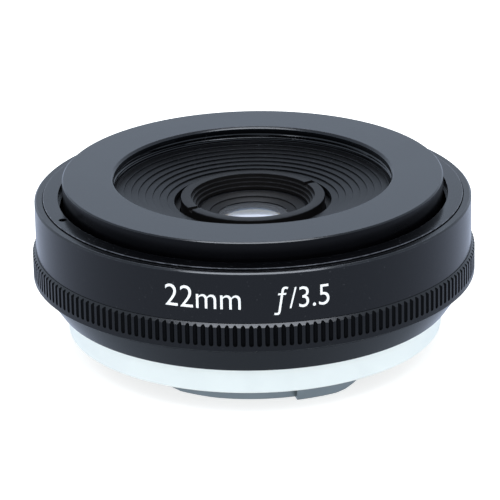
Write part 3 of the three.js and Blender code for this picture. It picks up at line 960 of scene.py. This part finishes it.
CROSS_LONG = 1.75
CROSS_WIDE = 0.38
CROSS_TAPER = 0.55
CROSS_DEPTH = 0.6


def cross_recess(depth):
    """The cross that a screwdriver fits: two tapered bars."""
    bars = []
    for turn in (0, QUARTER):
        work = bmesh.new()
        bmesh.ops.create_cube(work, size=1)
        for v in work.verts:
            narrow = CROSS_TAPER if v.co.z > 0 else 1.0
            x, y = v.co.x * CROSS_LONG * narrow, v.co.y * CROSS_WIDE * narrow
            v.co = Vector((x, y, (v.co.z + 0.5) * depth - 0.05)) * MM
        mesh = bpy.data.meshes.new("bar")
        work.to_mesh(mesh)
        work.free()
        bars.append(moved(mesh, Matrix.Rotation(turn, 4, "Z")))
    return bars


def screw(azimuth, node):
    """A countersunk screw of the mount, its head down, where its CAD node is."""
    z = low(node)
    body = turned("screw", [
        (0, 0), (SCREW_HEAD_R, 0, 0.06), (SCREW_HEAD_R, 0.2, 0.04), (SCREW_SHANK_R, 0.9),
        (SCREW_SHANK_R, 4.8, 0.1), (0, 4.8),
    ], 64)
    body = combined(body, cross_recess(CROSS_DEPTH), "DIFFERENCE")
    return beside(moved(body, Matrix.Rotation(azimuth, 4, "Z")), MOUNT_SCREW_R, azimuth, z)


for k, azimuth in enumerate(MOUNT_SCREWS):
    node = f"mount_screw_{k + 1}"
    show(f"mount_screw_head_{k + 1}", screw(azimuth, node), "mount", steel, "screw_steel", node)

show("rear_light_baffle", turned("baffle", [
    (9.8, 2.4, 0.15), (19.9, 2.4, 0.1), (19.9, 6.9, 0.05), (19.0, 6.9), (19.0, 3.3),
    (9.8, 3.3, 0.05),
]), "mount", matt, "matt_black", "rear_baffle")

# ---- CAD nodes that stay ------------------------------------------------------------------------

INNER = {node: matt for node in (
    "guide_barrel", "cam_ring", "front_spacer", "rear_spacer", "aperture_stop",
)}
INNER["friction_washer"] = steel
for k in (1, 2, 3):
    INNER[f"guide_screw_{k}"] = steel
    INNER[f"follower_pin_{k}"] = steel
    INNER[f"drive_pin_{k}"] = matt
for node, material in INNER.items():
    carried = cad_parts[node]
    carried.data.materials.clear()
    carried.data.materials.append(material)

# ---- floor, light and camera --------------------------------------------------------------------

FLOOR_HALF_M = 2.0
FLOOR_Z_M = -0.0001
FLOOR_GLOW = 0.72
CORNERS = ((-1, -1), (1, -1), (1, 1), (-1, 1))
floor_paint = finish_of(
    "pale_floor", (0.60, 0.565, 0.50), 0.8, specular=0.0, grain=(0.6, 0.004), tone=0.01,
)
glow = floor_paint.node_tree.nodes["Principled BSDF"].inputs
glow["Emission Color"].default_value = (1, 1, 1, 1)
glow["Emission Strength"].default_value = FLOOR_GLOW
floor_mesh = bpy.data.meshes.new("floor")
floor_mesh.from_pydata(
    [(x * FLOOR_HALF_M, y * FLOOR_HALF_M, FLOOR_Z_M) for x, y in CORNERS], [], [(0, 1, 2, 3)],
)
floor_mesh.materials.append(floor_paint)
floor = bpy.data.objects.new("floor", floor_mesh)
bpy.context.scene.collection.objects.link(floor)
floor.visible_glossy = False

SKY = (0.94, 1.09, 1.32, 1.0)
LOW_SKY = (0.70, 0.80, 1.02, 1.0)
UNDER = (0.42, 0.49, 0.60, 1.0)


def studio():
    """A cool white room, dimmer below the horizon, where the sides of the lens look."""
    world = bpy.data.worlds.new("studio")
    world.use_nodes = True
    nodes, links = world.node_tree.nodes, world.node_tree.links
    direction = nodes.new("ShaderNodeTexCoord")
    split = nodes.new("ShaderNodeSeparateXYZ")
    links.new(direction.outputs["Generated"], split.inputs[0])
    height = nodes.new("ShaderNodeMapRange")
    height.inputs["From Min"].default_value = -0.12
    height.inputs["From Max"].default_value = 0.12
    links.new(split.outputs["Z"], height.inputs["Value"])
    blend = nodes.new("ShaderNodeMix")
    blend.data_type = "RGBA"
    blend.inputs[7].default_value = SKY
    links.new(height.outputs["Result"], blend.inputs[0])
    depth = nodes.new("ShaderNodeMapRange")
    depth.inputs["From Min"].default_value = -0.72
    depth.inputs["From Max"].default_value = -0.4
    links.new(split.outputs["Z"], depth.inputs["Value"])
    lower = nodes.new("ShaderNodeMix")
    lower.data_type = "RGBA"
    lower.inputs[6].default_value = UNDER
    lower.inputs[7].default_value = LOW_SKY
    links.new(depth.outputs["Result"], lower.inputs[0])
    links.new(lower.outputs[2], blend.inputs[6])
    links.new(blend.outputs[2], nodes["Background"].inputs["Color"])
    return world


bpy.context.scene.world = studio()
bpy.context.scene.view_settings.view_transform = "Standard"

AIM_M = Vector((-0.00055, 0.0, 0.01414))
LIGHT_DISTANCE_M = 0.6
LIGHT_TINT = (0.90, 0.95, 1.04)


def soft_light(name, elevation, width, height, power):
    """A rectangular light in the plane of the view, its width along X and its face towards the
    lens; elevation counts from the camera's side."""
    data = bpy.data.lights.new(name, "AREA")
    data.shape = "RECTANGLE"
    data.size, data.size_y = width, height
    data.energy = power
    data.color = LIGHT_TINT
    light = bpy.data.objects.new(name, data)
    bpy.context.scene.collection.objects.link(light)
    away = Vector((0, -math.cos(elevation), math.sin(elevation)))
    across = Vector((1, 0, 0))
    turn = Matrix((across, away.cross(across), away)).transposed()
    light.location = AIM_M + away * LIGHT_DISTANCE_M
    light.rotation_mode = "QUATERNION"
    light.rotation_quaternion = turn.to_quaternion()
    light.visible_camera = False


soft_light("key_softbox", math.radians(66), 0.56, 0.16, 4.05)
soft_light("back_softbox", math.radians(122), 0.30, 0.12, 0.9)

CAMERA_M = Vector((0.0, -0.5094, 0.2139))
CAMERA_ROLL = math.radians(-1.08)
camera_data = bpy.data.cameras.new("camera")
camera_data.lens = 271.54
camera_data.sensor_width = 36.0
camera_data.clip_start = 0.01
camera = bpy.data.objects.new("camera", camera_data)
bpy.context.scene.collection.objects.link(camera)
camera.location = CAMERA_M
camera.rotation_mode = "QUATERNION"
look = (AIM_M - CAMERA_M).to_track_quat("-Z", "Y")
camera.rotation_quaternion = look @ Matrix.Rotation(CAMERA_ROLL, 3, "Z").to_quaternion()
bpy.context.scene.camera = camera
